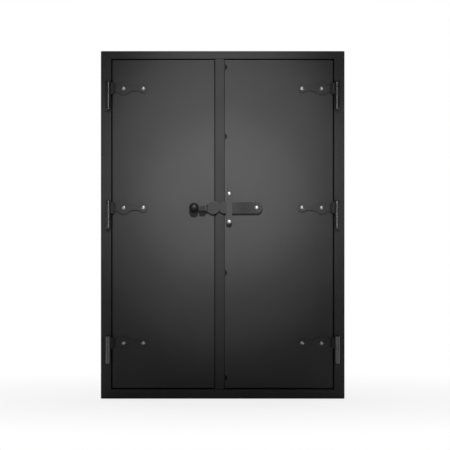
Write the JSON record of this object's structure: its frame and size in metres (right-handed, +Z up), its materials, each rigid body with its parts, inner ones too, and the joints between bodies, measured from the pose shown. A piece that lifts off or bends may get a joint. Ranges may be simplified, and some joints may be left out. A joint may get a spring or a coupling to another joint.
{
  "type": "smokehouse door",
  "caption": "Double-leaf steel smokehouse door in an angle-bar wall frame, with strap hinges and a ball-knob drop latch.",
  "frame": {"origin": "middle of the frame's lower edge, on the wall plane behind the front flange", "axes": "+X to the right, +Y back into the wall, +Z up; the leaves face -Y"},
  "size_m": [0.75, 0.075, 1.07],
  "materials": {
    "frame_paint": "satin black heat-resistant paint",
    "leaf_paint": "satin black heat-resistant paint",
    "hardware_paint": "satin black heat-resistant paint over forged bar",
    "black_oxide": "oiled black oxide on turned steel",
    "bare_steel": "oiled bare steel",
    "zinc": "bright zinc plating",
    "knob_plastic": "glossy black phenolic"
  },
  "bodies": {
    "frame": {"frame_top_rail": "frame_paint", "frame_bottom_rail": "frame_paint", "frame_left_stile": "frame_paint", "frame_right_stile": "frame_paint", "stop_top": "frame_paint", "stop_bottom": "frame_paint", "stop_left": "frame_paint", "stop_right": "frame_paint", "left_lower_knuckle_top": "black_oxide", "left_lower_knuckle_middle": "black_oxide", "left_lower_knuckle_bottom": "black_oxide", "right_lower_knuckle_top": "black_oxide", "right_lower_knuckle_middle": "black_oxide", "right_lower_knuckle_bottom": "black_oxide", "left_hinge_pin_top": "bare_steel", "left_hinge_pin_middle": "bare_steel", "left_hinge_pin_bottom": "bare_steel", "right_hinge_pin_top": "bare_steel", "right_hinge_pin_middle": "bare_steel", "right_hinge_pin_bottom": "bare_steel"},
    "left_leaf": {"left_leaf_sheet": "leaf_paint", "left_strap_bolts": "zinc", "left_strap_nuts": "zinc", "catch_hook": "hardware_paint", "left_strap_top": "hardware_paint", "left_strap_middle": "hardware_paint", "left_strap_bottom": "hardware_paint", "left_upper_knuckle_top": "black_oxide", "left_upper_knuckle_middle": "black_oxide", "left_upper_knuckle_bottom": "black_oxide"},
    "right_leaf": {"right_leaf_sheet": "leaf_paint", "right_leaf_stiffener": "leaf_paint", "right_strap_bolts": "zinc", "right_strap_nuts": "zinc", "latch_pivot_bolt": "zinc", "latch_pivot_nut": "zinc", "latch_pivot_spacer": "hardware_paint", "guide_strap": "hardware_paint", "guide_spacers": "hardware_paint", "guide_bolts": "zinc", "guide_nuts": "zinc", "right_strap_top": "hardware_paint", "right_strap_middle": "hardware_paint", "right_strap_bottom": "hardware_paint", "right_upper_knuckle_top": "black_oxide", "right_upper_knuckle_middle": "black_oxide", "right_upper_knuckle_bottom": "black_oxide"},
    "latch": {"latch_lever": "hardware_paint", "knob_stud": "hardware_paint", "ball_knob": "knob_plastic"}
  },
  "joints": [
    {"name": "right_leaf_swing", "type": "hinge", "parent": "frame", "child": "right_leaf", "pos_m": [0.352, -0.0115, 0], "axis": [0, 0, 1], "range_deg": [0, 165]},
    {"name": "left_leaf_swing", "type": "hinge", "parent": "frame", "child": "left_leaf", "pos_m": [-0.352, -0.0115, 0], "axis": [0, 0, -1], "range_deg": [0, 165]},
    {"name": "latch_lift", "type": "hinge", "parent": "right_leaf", "child": "latch", "pos_m": [0.1045, 0, 0.588], "axis": [0, 1, 0], "range_deg": [0, 12]}
  ],
  "couplings": [
    {"joint": "left_leaf_swing", "follows": "right_leaf_swing", "ratio": 1}
  ]
}
